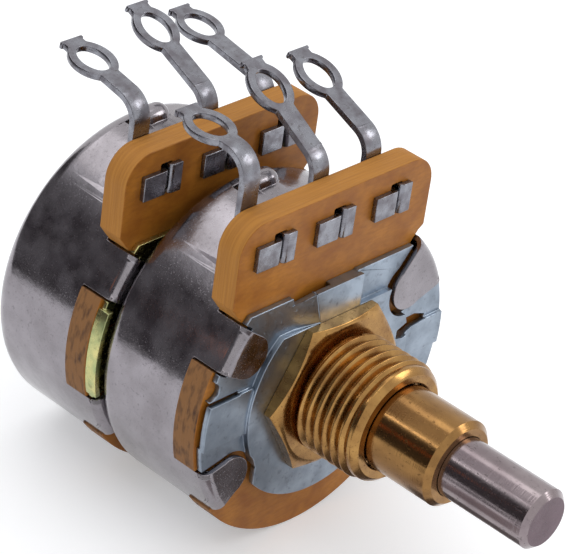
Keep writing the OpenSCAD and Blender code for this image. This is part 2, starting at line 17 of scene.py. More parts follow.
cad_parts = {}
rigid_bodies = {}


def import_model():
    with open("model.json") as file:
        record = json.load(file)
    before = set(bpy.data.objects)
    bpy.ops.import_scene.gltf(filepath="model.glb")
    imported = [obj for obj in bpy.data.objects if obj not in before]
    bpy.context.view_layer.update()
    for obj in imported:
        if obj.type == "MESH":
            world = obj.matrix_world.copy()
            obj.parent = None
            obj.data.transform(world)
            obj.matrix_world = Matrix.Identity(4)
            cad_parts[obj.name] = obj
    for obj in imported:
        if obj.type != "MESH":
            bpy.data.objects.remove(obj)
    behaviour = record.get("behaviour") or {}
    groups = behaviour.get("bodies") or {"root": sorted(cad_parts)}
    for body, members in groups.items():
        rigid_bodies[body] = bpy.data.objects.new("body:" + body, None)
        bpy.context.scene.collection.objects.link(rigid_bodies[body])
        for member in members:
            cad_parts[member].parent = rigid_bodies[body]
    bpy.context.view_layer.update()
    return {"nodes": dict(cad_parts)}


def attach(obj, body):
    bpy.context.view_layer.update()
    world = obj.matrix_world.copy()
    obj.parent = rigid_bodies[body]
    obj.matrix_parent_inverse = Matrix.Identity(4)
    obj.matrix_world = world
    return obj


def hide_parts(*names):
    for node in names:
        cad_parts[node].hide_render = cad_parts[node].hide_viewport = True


for leftover in list(bpy.data.objects):
    bpy.data.objects.remove(leftover)
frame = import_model()

LOG = logging.getLogger("potentiometer")
MM = 0.001
IMAGE_WIDTH = 569

Pair = tuple[float, float]
Triple = tuple[float, float, float]

# Limits that leave a noise as it is
WHOLE: Pair = (0.0, 1.0)
# Heights that no card reaches, in mm
NO_FADE: Pair = (900.0, 901.0)


class Body(Enum):
    """The bodies of the frame."""

    HOUSING = "housing"
    OUTER = "outer_turning"
    INNER = "inner_turning"


class Seed(Enum):
    """Shifts of the noise patterns, in mm, so that no two of them line up."""

    METAL_CLOUD = 3
    METAL_SPOT = 7
    METAL_STAIN = 19
    METAL_WAVE = 31
    METAL_DUST = 57
    TURNED_CLOUD = 9
    TURNED_SPECK = 13
    TURNED_MARK = 17
    PAPER_CLOUD = 5
    PAPER_FIBRE = 23
    PAPER_LAYER = 41
    PAPER_BLOT = 67
    SOLID_GRAIN = 8


def linear(hex_colour: str) -> tuple[float, float, float, float]:
    """Turns an sRGB hex colour to linear light, by the curve of the sRGB standard.

    Args:
        hex_colour: Six hex digits after a hash.

    Returns:
        Red, green, blue and an alpha of 1.
    """
    channels = [int(hex_colour[i:i + 2], 16) / 255 for i in (1, 3, 5)]
    flat = [c / 12.92 if c <= 0.04045 else ((c + 0.055) / 1.055) ** 2.4 for c in channels]
    return (*flat, 1.0)


def add(tree: bpy.types.NodeTree, kind: str, inputs: dict | None = None, **settings) -> bpy.types.Node:
    """Adds a node with its settings and links.

    Args:
        tree: The tree that the node goes into.
        kind: Blender's name for the kind of node.
        inputs: Input names or numbers, each with a node or socket to link, a hex colour or a value.
        **settings: Properties of the node.

    Returns:
        The new node.
    """
    node = tree.nodes.new(kind)
    for name, value in settings.items():
        setattr(node, name, value)
    for key, value in (inputs or {}).items():
        named = [s for s in node.inputs if s.enabled and s.name == key]
        socket = named[0] if named else node.inputs[key]
        if isinstance(value, bpy.types.Node):
            value = next(s for s in value.outputs if s.enabled)
        if isinstance(value, bpy.types.NodeSocket):
            tree.links.new(value, socket)
        else:
            socket.default_value = linear(value) if isinstance(value, str) else value
    return node


def patches(tree: bpy.types.NodeTree, mm: bpy.types.Node, size: float, limits: Pair, seed: Seed,
            stretch: Triple = (1, 1, 1), detail: float = 3) -> bpy.types.Node:
    """Spreads soft patches of a real size over a piece.

    Args:
        tree: The material's tree.
        mm: The node that gives places on the piece, in mm.
        size: Size of the patches, in mm.
        limits: The noise that counts as 0, and the noise that counts as 1.
        seed: Shift of the pattern.
        stretch: How much longer the patches are along each axis.
        detail: Octaves of finer grain.

    Returns:
        A node whose result runs from 0 to 1.
    """
    spread = add(tree, "ShaderNodeMapping", {"Vector": mm, "Scale": tuple(1 / (size * s) for s in stretch),
                                             "Location": (seed.value, seed.value, seed.value)})
    noise = add(tree, "ShaderNodeTexNoise", {"Vector": spread, "Scale": 1.0, "Detail": detail})
    return add(tree, "ShaderNodeMapRange", {"Value": noise, "From Min": limits[0], "From Max": limits[1]})


@dataclass(frozen=True)
class Finish:
    """A surface finish, whose tree starts from Object coordinates in millimetres."""

    name: str

    def material(self) -> bpy.types.Material:
        """Builds the finish's material, or finds it where it is built.

        Returns:
            The node-based material.
        """
        if self.name in bpy.data.materials:
            return bpy.data.materials[self.name]
        made = bpy.data.materials.new(self.name)
        made.use_nodes = True
        tree = made.node_tree
        tree.nodes.clear()
        place = add(tree, "ShaderNodeTexCoord").outputs["Object"]
        mm = add(tree, "ShaderNodeVectorMath", {0: place, 1: (1 / MM, 1 / MM, 1 / MM)}, operation="MULTIPLY")
        add(tree, "ShaderNodeOutputMaterial", {"Surface": self.shade(tree, mm)})
        return made

    def shade(self, tree: bpy.types.NodeTree, mm: bpy.types.Node) -> bpy.types.Node:
        """Builds the finish's nodes.

        Args:
            tree: The material's tree.
            mm: The node that gives places on the piece, in mm.

        Returns:
            The shader that the finish ends in.
        """
        raise NotImplementedError


@dataclass(frozen=True)
class WornMetal(Finish):
    """Plated or drawn metal: clouds of tone, and small rough spots that catch light from all round."""

    main: str
    second: str
    dark: str
    smooth: float
    rough: float
    cloud_size: float
    spot_size: float
    spot_low: float
    stain_share: float
    stretch: Triple = (1, 1, 1)
    # Dust and handling marks, as a share of the surface that scatters light
    haze: float = 0.0
    # What a worn spot adds to the roughness, and how it dips below the waves
    wear: float = 0.14
    dip: float = -0.14
    # Depth of the waves, in mm
    dent: float = 0.012
    wave_size: float = 0.8
    # A stain's size in spots, and a dust patch's in clouds
    stain_scale: float = 1.7
    dust_scale: float = 0.7
    spot_span: float = 0.12
    cloud_limits: Pair = (0.36, 0.66)
    stain_limits: Pair = (0.6, 0.72)
    dust_limits: Pair = (0.38, 0.64)

    def shade(self, tree: bpy.types.NodeTree, mm: bpy.types.Node) -> bpy.types.Node:
        """Builds clouds, spots where the plating has worn, dark stains, dust and a faint waviness.

        Args:
            tree: The material's tree.
            mm: The node that gives places on the piece, in mm.

        Returns:
            The metal's shader.
        """
        cloud = patches(tree, mm, self.cloud_size, self.cloud_limits, Seed.METAL_CLOUD, detail=4)
        spots = patches(tree, mm, self.spot_size, (self.spot_low, self.spot_low + self.spot_span),
                        Seed.METAL_SPOT, self.stretch, detail=2)
        stains = patches(tree, mm, self.spot_size * self.stain_scale, self.stain_limits, Seed.METAL_STAIN,
                         self.stretch)
        waves = patches(tree, mm, self.wave_size, WHOLE, Seed.METAL_WAVE)
        dust = patches(tree, mm, self.cloud_size * self.dust_scale, self.dust_limits, Seed.METAL_DUST,
                       detail=5)
        tone = add(tree, "ShaderNodeMix", {"Factor": cloud, "A": self.main, "B": self.second},
                   data_type="RGBA")
        stained = add(tree, "ShaderNodeMath", {0: stains, 1: self.stain_share}, operation="MULTIPLY")
        tone = add(tree, "ShaderNodeMix", {"Factor": stained, "A": tone, "B": self.dark}, data_type="RGBA")
        plain = add(tree, "ShaderNodeMapRange", {"Value": cloud, "To Min": self.smooth, "To Max": self.rough})
        worn = add(tree, "ShaderNodeMath", {0: spots, 1: self.wear, 2: plain}, operation="MULTIPLY_ADD")
        height = add(tree, "ShaderNodeMath", {0: spots, 1: self.dip, 2: waves}, operation="MULTIPLY_ADD")
        bare = add(tree, "ShaderNodeMath", {0: dust, 1: -self.haze, 2: 1.0}, operation="MULTIPLY_ADD")
        bump = add(tree, "ShaderNodeBump", {"Height": height, "Distance": self.dent * MM, "Strength": 1.0})
        return add(tree, "ShaderNodeBsdfPrincipled",
                   {"Base Color": tone, "Roughness": worn, "Metallic": bare, "Normal": bump})


@dataclass(frozen=True)
class TurnedMetal(Finish):
    """Metal turned on a lathe: bright, with fine ring marks along the shaft axis and a little tarnish."""

    main: str
    second: str
    dark: str
    smooth: float
    stain_share: float
    cloud_size: float = 1.6
    speck_size: float = 0.16
    # Real tool marks lie closer. These are as coarse as they need to be to show, in mm
    mark_pitch: float = 0.09
    mark_depth: float = 0.005
    # What tarnish and specks add to the roughness
    tarnish_rough: float = 0.08
    speck_rough: float = 0.25
    cloud_stretch: Triple = (1, 1.8, 1)
    speck_stretch: Triple = (1, 2.5, 1)
    mark_stretch: Triple = (60, 1, 60)
    cloud_limits: Pair = (0.34, 0.7)
    speck_limits: Pair = (0.6, 0.74)

    def shade(self, tree: bpy.types.NodeTree, mm: bpy.types.Node) -> bpy.types.Node:
        """Builds clouds of tarnish, specks, and the tool's marks.

        Args:
            tree: The material's tree.
            mm: The node that gives places on the piece, in mm.

        Returns:
            The metal's shader.
        """
        cloud = patches(tree, mm, self.cloud_size, self.cloud_limits, Seed.TURNED_CLOUD, self.cloud_stretch,
                        detail=4)
        specks = patches(tree, mm, self.speck_size, self.speck_limits, Seed.TURNED_SPECK, self.speck_stretch,
                         detail=2)
        marks = patches(tree, mm, self.mark_pitch, WHOLE, Seed.TURNED_MARK, self.mark_stretch, detail=1)
        tone = add(tree, "ShaderNodeMix", {"Factor": cloud, "A": self.main, "B": self.second},
                   data_type="RGBA")
        stained = add(tree, "ShaderNodeMath", {0: specks, 1: self.stain_share}, operation="MULTIPLY")
        tone = add(tree, "ShaderNodeMix", {"Factor": stained, "A": tone, "B": self.dark}, data_type="RGBA")
        plain = add(tree, "ShaderNodeMapRange",
                    {"Value": cloud, "To Min": self.smooth, "To Max": self.smooth + self.tarnish_rough})
        rough = add(tree, "ShaderNodeMath", {0: specks, 1: self.speck_rough, 2: plain},
                    operation="MULTIPLY_ADD")
        bump = add(tree, "ShaderNodeBump",
                   {"Height": marks, "Distance": self.mark_depth * MM, "Strength": 1.0})
        return add(tree, "ShaderNodeBsdfPrincipled",
                   {"Base Color": tone, "Roughness": rough, "Metallic": 1.0, "Normal": bump})


@dataclass(frozen=True)
class PaperPhenolic(Finish):
    """Punched paper phenolic sheet: amber faces with resin clouds, and edges that show the layers.

    The edges are darker towards the bottom, below the terminals: painted shade, with dark blots laid in it.
    """

    main: str = "#B67528"
    second: str = "#96591B"
    fibre: str = "#7E4A18"
    edge: str = "#B67C34"
    edge_line: str = "#8F5A24"
    # Painted shade: the colour that the lower edges darken to
    low_edge_shade: str = "#8A6038"
    # Dark blots, blotchy like grime, laid only where the painted shade of the lower edges lies
    grime_and_shade: str = "#4A3020"
    cloud_size: float = 2.2
    fibre_size: float = 0.25
    # Real paper layers are thinner. These are as coarse as they need to be to show, in mm
    layer_pitch: float = 0.17
    blot_size: float = 0.6
    # How strongly fibres and layers tint the sheet, and how high the fibres stand beside the layers
    fibre_share: float = 0.4
    layer_share: float = 0.4
    fibre_height: float = 0.4
    relief: float = 0.016
    face_rough: float = 0.45
    edge_rough: float = 0.2
    ior: float = 1.45
    shine: float = 0.35
    # How squarely a surface looks along Y where it counts as face, and where as edge
    face_to_edge: Pair = (0.6, 0.4)
    # Heights at which the edges are plain, and at which the painted shade on them is full, in mm
    shade_heights: Pair = (7.0, 5.0)
    fibre_stretch: Triple = (3, 1, 1)
    layer_stretch: Triple = (30, 1, 30)
    blot_stretch: Triple = (1, 0.6, 1.6)
    cloud_limits: Pair = (0.33, 0.68)
    fibre_limits: Pair = (0.42, 0.74)
    layer_limits: Pair = (0.35, 0.65)
    blot_limits: Pair = (0.48, 0.74)

    def shade(self, tree: bpy.types.NodeTree, mm: bpy.types.Node) -> bpy.types.Node:
        """Builds clouded amber, fibres on the faces, and layers on the edges, with painted shade and dark
        blots on the lower edges.

        Args:
            tree: The material's tree.
            mm: The node that gives places on the piece, in mm.

        Returns:
            The sheet's shader.
        """
        cloud = patches(tree, mm, self.cloud_size, self.cloud_limits, Seed.PAPER_CLOUD, detail=4)
        fibres = patches(tree, mm, self.fibre_size, self.fibre_limits, Seed.PAPER_FIBRE, self.fibre_stretch)
        layers = patches(tree, mm, self.layer_pitch, self.layer_limits, Seed.PAPER_LAYER, self.layer_stretch,
                         detail=2)
        blots = patches(tree, mm, self.blot_size, self.blot_limits, Seed.PAPER_BLOT, self.blot_stretch,
                        detail=5)
        normal = add(tree, "ShaderNodeTexCoord").outputs["Normal"]
        across = add(tree, "ShaderNodeSeparateXYZ", {0: normal}).outputs["Y"]
        above = add(tree, "ShaderNodeSeparateXYZ", {0: mm}).outputs["Z"]
        facing = add(tree, "ShaderNodeMath", {0: across}, operation="ABSOLUTE")
        side = add(tree, "ShaderNodeMapRange", {"Value": facing, "From Min": self.face_to_edge[0],
                                                "From Max": self.face_to_edge[1]})
        # Painted shade: a mask that darkens the edges towards the bottom of the board
        low_shade = add(tree, "ShaderNodeMapRange", {"Value": above, "From Min": self.shade_heights[0],
                                                   "From Max": self.shade_heights[1]})
        tone = add(tree, "ShaderNodeMix", {"Factor": cloud, "A": self.main, "B": self.second},
                   data_type="RGBA")
        flecks = add(tree, "ShaderNodeMath", {0: fibres, 1: self.fibre_share}, operation="MULTIPLY")
        tone = add(tree, "ShaderNodeMix", {"Factor": flecks, "A": tone, "B": self.fibre}, data_type="RGBA")
        lines = add(tree, "ShaderNodeMath", {0: layers, 1: self.layer_share}, operation="MULTIPLY")
        paper = add(tree, "ShaderNodeMix", {"Factor": lines, "A": self.edge, "B": self.edge_line},
                    data_type="RGBA")
        # The lower edges take the painted shade's colour
        paper = add(tree, "ShaderNodeMix", {"Factor": low_shade, "A": paper, "B": self.low_edge_shade}, data_type="RGBA")
        tone = add(tree, "ShaderNodeMix", {"Factor": side, "A": tone, "B": paper}, data_type="RGBA")
        # Dark blots, blotchy like grime, laid only on the lower edges, inside the painted shade
        grime_and_shade = add(tree, "ShaderNodeMath", {0: blots, 1: low_shade}, operation="MULTIPLY")
        grime_and_shade = add(tree, "ShaderNodeMath", {0: grime_and_shade, 1: side}, operation="MULTIPLY")
        tone = add(tree, "ShaderNodeMix", {"Factor": grime_and_shade, "A": tone, "B": self.grime_and_shade}, data_type="RGBA")
        rough = add(tree, "ShaderNodeMath", {0: side, 1: self.edge_rough, 2: self.face_rough},
                    operation="MULTIPLY_ADD")
        cut = add(tree, "ShaderNodeMath", {0: layers, 1: side}, operation="MULTIPLY")
        height = add(tree, "ShaderNodeMath", {0: fibres, 1: self.fibre_height, 2: cut},
                     operation="MULTIPLY_ADD")
        bump = add(tree, "ShaderNodeBump", {"Height": height, "Distance": self.relief * MM, "Strength": 1.0})
        return add(tree, "ShaderNodeBsdfPrincipled",
                   {"Base Color": tone, "Roughness": rough, "IOR": self.ior, "Specular IOR Level": self.shine,
                    "Normal": bump})


@dataclass(frozen=True)
class FleckedSolid(Finish):
    """Ink or moulding compound: dark and dull, with a fine grain of another tone."""

    main: str
    fleck: str
    grain: float
    rough: float
    # What a fleck adds to the roughness, and how high it stands, in mm
    fleck_rough: float = 0.15
    relief: float = 0.01
    ior: float = 1.55
    fleck_limits: Pair = (0.45, 0.75)

    def shade(self, tree: bpy.types.NodeTree, mm: bpy.types.Node) -> bpy.types.Node:
        """Builds the grain, in tone, roughness and height.

        Args:
            tree: The material's tree.
            mm: The node that gives places on the piece, in mm.

        Returns:
            The solid's shader.
        """
        flecks = patches(tree, mm, self.grain, self.fleck_limits, Seed.SOLID_GRAIN, detail=2)
        tone = add(tree, "ShaderNodeMix", {"Factor": flecks, "A": self.main, "B": self.fleck},
                   data_type="RGBA")
        dull = add(tree, "ShaderNodeMath", {0: flecks, 1: self.fleck_rough, 2: self.rough},
                   operation="MULTIPLY_ADD")
        bump = add(tree, "ShaderNodeBump", {"Height": flecks, "Distance": self.relief * MM, "Strength": 1.0})
        return add(tree, "ShaderNodeBsdfPrincipled",
                   {"Base Color": tone, "Roughness": dull, "IOR": self.ior, "Normal": bump})


class Slot(Enum):
    """Finishes, each with the material slot of the record that it stands for."""

    # Free-cutting brass, turned: golden, darker where it has tarnished
    BRASS = ("brass", TurnedMetal("brass_turned", main="#AC844E", second="#835F38", dark="#3A2A1C",
                                  smooth=0.18, stain_share=0.3))
    # The same brass where knobs and hands have browned it
    SHAFT_BRASS = ("brass", TurnedMetal("brass_shaft_browned", main="#9A7446", second="#7C5B38",
                                        dark="#3A261A", smooth=0.15, stain_share=0.3))
    # Nickel-plated steel rod: purplish grey with streaks of dark specks
    STEEL = ("steel_shaft", TurnedMetal("steel_shaft_plated", main="#9C9193", second="#83777A",
                                        dark="#2E2829", smooth=0.14, stain_share=0.5))
    # Zinc-plated sheet: bluish satin with soft clouds
    ZINC = ("zinc_plate", WornMetal("zinc_plated_sheet", main="#9AA5B2", second="#808A96", dark="#4C4A50",
                                    smooth=0.3, rough=0.4, cloud_size=1.8, spot_size=0.25, spot_low=0.6,
                                    stain_share=0.35))
    # The same sheet where its passivation has yellowed
    YELLOWED = ("zinc_plate", WornMetal("zinc_plated_yellowed", main="#CFC688", second="#A3AE7C",
                                        dark="#6A6040", smooth=0.22, rough=0.32, cloud_size=1.4,
                                        spot_size=0.25, spot_low=0.6, stain_share=0.45))
    # Tin-plated steel, deep drawn: mirror-like grey broken by fine specks and a light haze
    TIN = ("tin_can", WornMetal("tin_plate_deep_drawn", main="#989398", second="#868185", dark="#4C474A",
                                smooth=0.13, rough=0.2, cloud_size=2.6, spot_size=0.12, spot_low=0.6,
                                stain_share=0.4, haze=0.17))
    # Tinned brass strip: blue-silver with dull warm blotches
    LUG = ("lug_metal", WornMetal("tinned_brass_stamped", main="#8F9097", second="#716E74", dark="#4C443F",
                                  smooth=0.2, rough=0.34, cloud_size=0.9, spot_size=0.15, spot_low=0.57,
                                  stain_share=0.45))
    # Rolled spring brass: straw yellow, drawn out along the strip
    SPRING = ("spring_metal", WornMetal("spring_brass_rolled", main="#C9A45C", second="#A9823E",
                                        dark="#5A431E", smooth=0.2, rough=0.35, cloud_size=0.5,
                                        spot_size=0.15, spot_low=0.6, stain_share=0.4, stretch=(1, 1, 12)))
    # Silvered strip: pale, faintly yellowed
    SILVER = ("silvered_metal", WornMetal("silvered_contact_strip", main="#CFCFCB", second="#B5AB98",
                                          dark="#5E564A", smooth=0.2, rough=0.35, cloud_size=1.5,
                                          spot_size=0.2, spot_low=0.6, stain_share=0.4))
    # Punched paper phenolic: amber, browned at the edges
    BOARD = ("phenolic_board", PaperPhenolic("paper_phenolic_punched"))
    # Screened carbon ink: near black and dull
    CARBON = ("carbon_track", FleckedSolid("carbon_ink_cured", main="#17171A", fleck="#2B2A2C", grain=0.12,
                                           rough=0.55))
    # Wood-filled phenolic: dark brown with lighter flecks
    MOULDED = ("dark_phenolic", FleckedSolid("phenolic_moulded_dark", main="#3A241A", fleck="#5E4030",
                                             grain=0.3, rough=0.35))

    @property
    def finish(self) -> Finish:
        """The finish, which follows the record's slot in the value."""
        return self.value[1]


def dress(node: str, slot: Slot) -> None:
    """Gives a CAD node its finish.

    Args:
        node: Name of the CAD node.
        slot: The slot whose finish it takes.
    """
    for holder in frame["nodes"][node].material_slots:
        holder.material = slot.finish.material()
    LOG.info("dressed %s with %s", node, slot.finish.name)


def settle(piece: bpy.types.Object, node: str, body: Body, slot: Slot) -> None:
    """Puts a finished piece in a node's place.

    Args:
        piece: The finished piece, in the frame's coordinates.
        node: The CAD node that it stands for.
        body: The body that it rides on.
        slot: The slot whose finish it takes.
    """
    piece.data.materials.clear()
    piece.data.materials.append(slot.finish.material())
    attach(piece, body.value)
    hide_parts(node)
    LOG.info("built %s: %d faces", piece.name, len(piece.data.polygons))


def plain_mesh(scratch: bpy.types.Object, name: str) -> bpy.types.Mesh:
    """Turns an object with live modifiers to a plain mesh, and removes the object.

    Args:
        scratch: The object to evaluate.
        name: Name of the new mesh.

    Returns:
        The evaluated mesh.
    """
    bpy.context.view_layer.update()
    ready = scratch.evaluated_get(bpy.context.evaluated_depsgraph_get())
    mesh = bpy.data.meshes.new_from_object(ready)
    mesh.name = name
    scratch.modifiers.clear()
    bpy.data.objects.remove(scratch)
    return mesh


@dataclass
class SoftEdges:
    """Sheared and tumbled edges: the real pieces have no sharp ones, so each catches a thin glint."""

    width: float = 0.06
    segments: int = 2
    sharp_angle: float = 32.0
    flat_angle: float = 0.4
    weld: float = 0.0008
    face_weight: int = 100

    def copy(self, node: str, name: str) -> bpy.types.Object:
        """Copies a CAD node and softens its edges.

        Args:
            node: Name of the CAD node.
            name: Name of the new piece.

        Returns:
            The new piece, linked to the scene.
        """
        shape = bmesh.new()
        shape.from_mesh(frame["nodes"][node].data)
        self.clean(shape)
        return self.round_off(shape, name)

    def clean(self, shape: bmesh.types.BMesh) -> None:
        """Merges a tessellated shape's doubles and joins its flat faces."""
        bmesh.ops.remove_doubles(shape, verts=shape.verts, dist=self.weld * MM)
        bmesh.ops.dissolve_limit(shape, angle_limit=math.radians(self.flat_angle), verts=shape.verts,
                                 edges=shape.edges, use_dissolve_boundaries=False)

    def round_off(self, shape: bmesh.types.BMesh, name: str) -> bpy.types.Object:
        """Bevels the sharp edges of a closed shape, and keeps its flat faces flat to the eye.

        Args:
            shape: The merged shape, which is freed.
            name: Name of the new piece.

        Returns:
            The new piece, linked to the scene.
        """
        mesh = bpy.data.meshes.new(name)
        shape.to_mesh(mesh)
        shape.free()
        mesh.shade_smooth()
        scratch = bpy.data.objects.new(name + "_scratch", mesh)
        bpy.context.scene.collection.objects.link(scratch)
        bevel = scratch.modifiers.new("edges", "BEVEL")
        bevel.width = self.width * MM
        bevel.segments = self.segments
        bevel.limit_method = "ANGLE"
        bevel.angle_limit = math.radians(self.sharp_angle)
        bevel.use_clamp_overlap = False
        bevel.miter_outer = "MITER_ARC"
        flat = scratch.modifiers.new("flat_faces", "WEIGHTED_NORMAL")
        flat.mode = "FACE_AREA"
        flat.weight = self.face_weight
        piece = bpy.data.objects.new(name, plain_mesh(scratch, name))
        bpy.context.scene.collection.objects.link(piece)
        return piece


@dataclass
class Bushing:
    """Threaded brass bushing with its hexagon, staked into the front plate."""

    thread_r: float = 4.5
    thread_depth: float = 0.44
    thread_pitch: float = 0.75
    thread_front: float = -4.45
    thread_back: float = 0.2
    crest_w: float = 0.1
    crest_r: float = 0.05
    sunk: float = 0.06
    steps: int = 96
    edge: float = 0.05
    wall_tolerance: float = 0.03

    def build(self) -> None:
        """Builds the bushing and puts it in its node's place."""
        soft = SoftEdges(width=self.edge)
        shape = bmesh.new()
        shape.from_mesh(frame["nodes"]["bushing"].data)
        soft.clean(shape)
        root = self.thread_r - self.thread_depth
        for vertex in shape.verts:
            r = math.hypot(vertex.co.x, vertex.co.z) / MM
            if abs(r - self.thread_r) < self.wall_tolerance and vertex.co.y / MM < self.thread_back:
                vertex.co.x *= root / r
                vertex.co.z *= root / r
        core = soft.round_off(shape, "bushing_turned")
        joined = bmesh.new()
        joined.from_mesh(core.data)
        joined.from_mesh(self.thread())
        joined.to_mesh(core.data)
        joined.free()
        core.data.shade_smooth()
        core.data.set_sharp_from_angle(angle=math.radians(soft.sharp_angle))
        settle(core, "bushing", Body.HOUSING, Slot.BRASS)

    def thread(self) -> bpy.types.Mesh:
        """Runs the thread's node tree.

        Returns:
            The closed ridge of the thread as a plain mesh, in metres.
        """
        tree = ThreadTree().build()
        scratch = bpy.data.objects.new("thread_scratch", bpy.data.meshes.new("thread_scratch"))
        bpy.context.scene.collection.objects.link(scratch)
        live = scratch.modifiers.new("thread", "NODES")
        live.node_group = tree
        length = self.thread_back - self.thread_front
        sizes = {"Root radius": (self.thread_r - self.thread_depth) * MM, "Depth": self.thread_depth * MM,
                 "Pitch": self.thread_pitch * MM, "Front": self.thread_front * MM,
                 "Turns": length / self.thread_pitch, "Crest width": self.crest_w * MM,
                 "Crest radius": self.crest_r * MM, "Sunk": self.sunk * MM, "Steps": self.steps,
                 "Finish": Slot.BRASS.finish.material()}
        for item in tree.interface.items_tree:
            if item.item_type == "SOCKET" and item.in_out == "INPUT":
                live[item.identifier] = sizes[item.name]
        return plain_mesh(scratch, "thread")


@dataclass
class ThreadTree:
    """Node tree of a screw thread: a V-shaped ridge swept along a helix round Y."""

    lengths: tuple[str, ...] = ("Root radius", "Depth", "Pitch", "Front", "Turns", "Crest width",
                                "Crest radius", "Sunk")
    # Share of the helix over which the ridge rises out of the core, and the share of its height there
    run_in: float = 0.06
    run_in_height: float = 0.05
    # Half the ridge's foot, as a share of the pitch
    half_foot: float = 0.46
    crest_steps: int = 2

    def build(self) -> bpy.types.NodeTree:
        """Builds the tree.

        Returns:
            The tree, with named inputs for its sizes.
        """
        tree = bpy.data.node_groups.new("screw_thread", "GeometryNodeTree")
        for name in self.lengths:
            tree.interface.new_socket(name=name, in_out="INPUT", socket_type="NodeSocketFloat")
        tree.interface.new_socket(name="Steps", in_out="INPUT", socket_type="NodeSocketInt")
        tree.interface.new_socket(name="Finish", in_out="INPUT", socket_type="NodeSocketMaterial")
        tree.interface.new_socket(name="Thread", in_out="OUTPUT", socket_type="NodeSocketGeometry")
        given = add(tree, "NodeGroupInput").outputs
        height = add(tree, "ShaderNodeMath", {0: given["Pitch"], 1: given["Turns"]}, operation="MULTIPLY")
        helix = add(tree, "GeometryNodeCurveSpiral",
                    {"Resolution": given["Steps"], "Rotations": given["Turns"],
                     "Start Radius": given["Root radius"], "End Radius": given["Root radius"],
                     "Height": height})
        upright = add(tree, "GeometryNodeSetCurveNormal", {"Curve": helix}, mode="Z_UP")
        share = add(tree, "GeometryNodeSplineParameter").outputs["Factor"]
        rise = add(tree, "ShaderNodeMapRange",
                   {"Value": share, "From Max": self.run_in, "To Min": self.run_in_height})
        tapered = add(tree, "GeometryNodeSetCurveRadius", {"Curve": upright, "Radius": rise})
        ridge = add(tree, "GeometryNodeCurveToMesh",
                    {"Curve": tapered, "Profile Curve": self.profile(tree, given), "Fill Caps": True})
        along = add(tree, "ShaderNodeCombineXYZ", {"Y": given["Front"]})
        turned = add(tree, "GeometryNodeTransform",
                     {"Geometry": ridge, "Translation": along, "Rotation": (-math.pi / 2, 0, 0)})
        real = add(tree, "GeometryNodeRealizeInstances", {"Geometry": turned})
        dressed = add(tree, "GeometryNodeSetMaterial", {"Geometry": real, "Material": given["Finish"]})
        add(tree, "NodeGroupOutput", {"Thread": dressed})
        return tree

    def profile(self, tree: bpy.types.NodeTree, given: bpy.types.NodeOutputs) -> bpy.types.Node:
        """Builds the ridge's section: X inwards from the core's surface and Y along the axis.

        Args:
            tree: The thread's tree.
            given: The tree's inputs.

        Returns:
            A node that gives the closed section with a rounded crest.
        """
        half_base = add(tree, "ShaderNodeMath", {0: given["Pitch"], 1: self.half_foot},
                        operation="MULTIPLY")
        base_low = add(tree, "ShaderNodeMath", {0: half_base, 1: -1}, operation="MULTIPLY")
        half_crest = add(tree, "ShaderNodeMath", {0: given["Crest width"], 1: 0.5}, operation="MULTIPLY")
        crest_low = add(tree, "ShaderNodeMath", {0: half_crest, 1: -1}, operation="MULTIPLY")
        outside = add(tree, "ShaderNodeMath", {0: given["Depth"], 1: -1}, operation="MULTIPLY")
        corners = ((given["Sunk"], half_base), (outside, half_crest), (outside, crest_low),
                   (given["Sunk"], base_low))
        points = {f"Point {i}": add(tree, "ShaderNodeCombineXYZ", {"X": out, "Y": along})
                  for i, (out, along) in enumerate(corners, start=1)}
        section = add(tree, "GeometryNodeCurvePrimitiveQuadrilateral", points, mode="POINTS")
        return add(tree, "GeometryNodeFilletCurve", {"Curve": section, "Radius": given["Crest radius"],
                                                     "Count": self.crest_steps, "Limit Radius": True},
                   mode="POLY")


@dataclass
class Gang:
    """One gang: base plate, element board with its tracks, three lugs and a can."""

    prefix: str
    plate_slot: Slot
    plate_edge: float = 0.06
    can_edge: float = 0.06
    board_edge: float = 0.08
    lug_edge: float = 0.06

    def build(self) -> None:
        """Softens and dresses the gang's visible pieces, and dresses its inner ones."""
        self.soften("plate", "plate_formed", self.plate_edge, self.plate_slot)
        self.soften("board", "board_punched", self.board_edge, Slot.BOARD)
        self.soften("can", "can_drawn", self.can_edge, Slot.TIN)
        for side in ("left", "centre", "right"):
            self.soften(f"lug_{side}", f"lug_{side}_stamped", self.lug_edge, Slot.LUG)
        dress(f"{self.prefix}_track", Slot.CARBON)
        dress(f"{self.prefix}_collector", Slot.SILVER)

    def soften(self, part: str, made: str, width: float, slot: Slot) -> None:
        """Puts a copy with soft edges in a node's place.

        Args:
            part: The node's name after the gang's prefix.
            made: The new piece's name after the gang's prefix.
            width: Width of its soft edges, in mm.
            slot: The slot whose finish it takes.
        """
        node = f"{self.prefix}_{part}"
        piece = SoftEdges(width=width).copy(node, f"{self.prefix}_{made}")
        settle(piece, node, Body.HOUSING, slot)


@dataclass
class TurningSet:
    """A shaft with its clip, rotor and wiper, which turn as one body and keep their CAD shapes."""

    body: Body
    shaft: str
    clip: str
    gang: str
    slot: Slot

    def build(self) -> None:
        """Dresses the set's pieces."""
        dress(self.shaft, self.slot)
        dress(self.clip, Slot.SPRING)
        dress(f"{self.gang}_rotor", Slot.MOULDED)
        dress(f"{self.gang}_wiper", Slot.SPRING)
        LOG.info("%s is dressed", self.body.value)


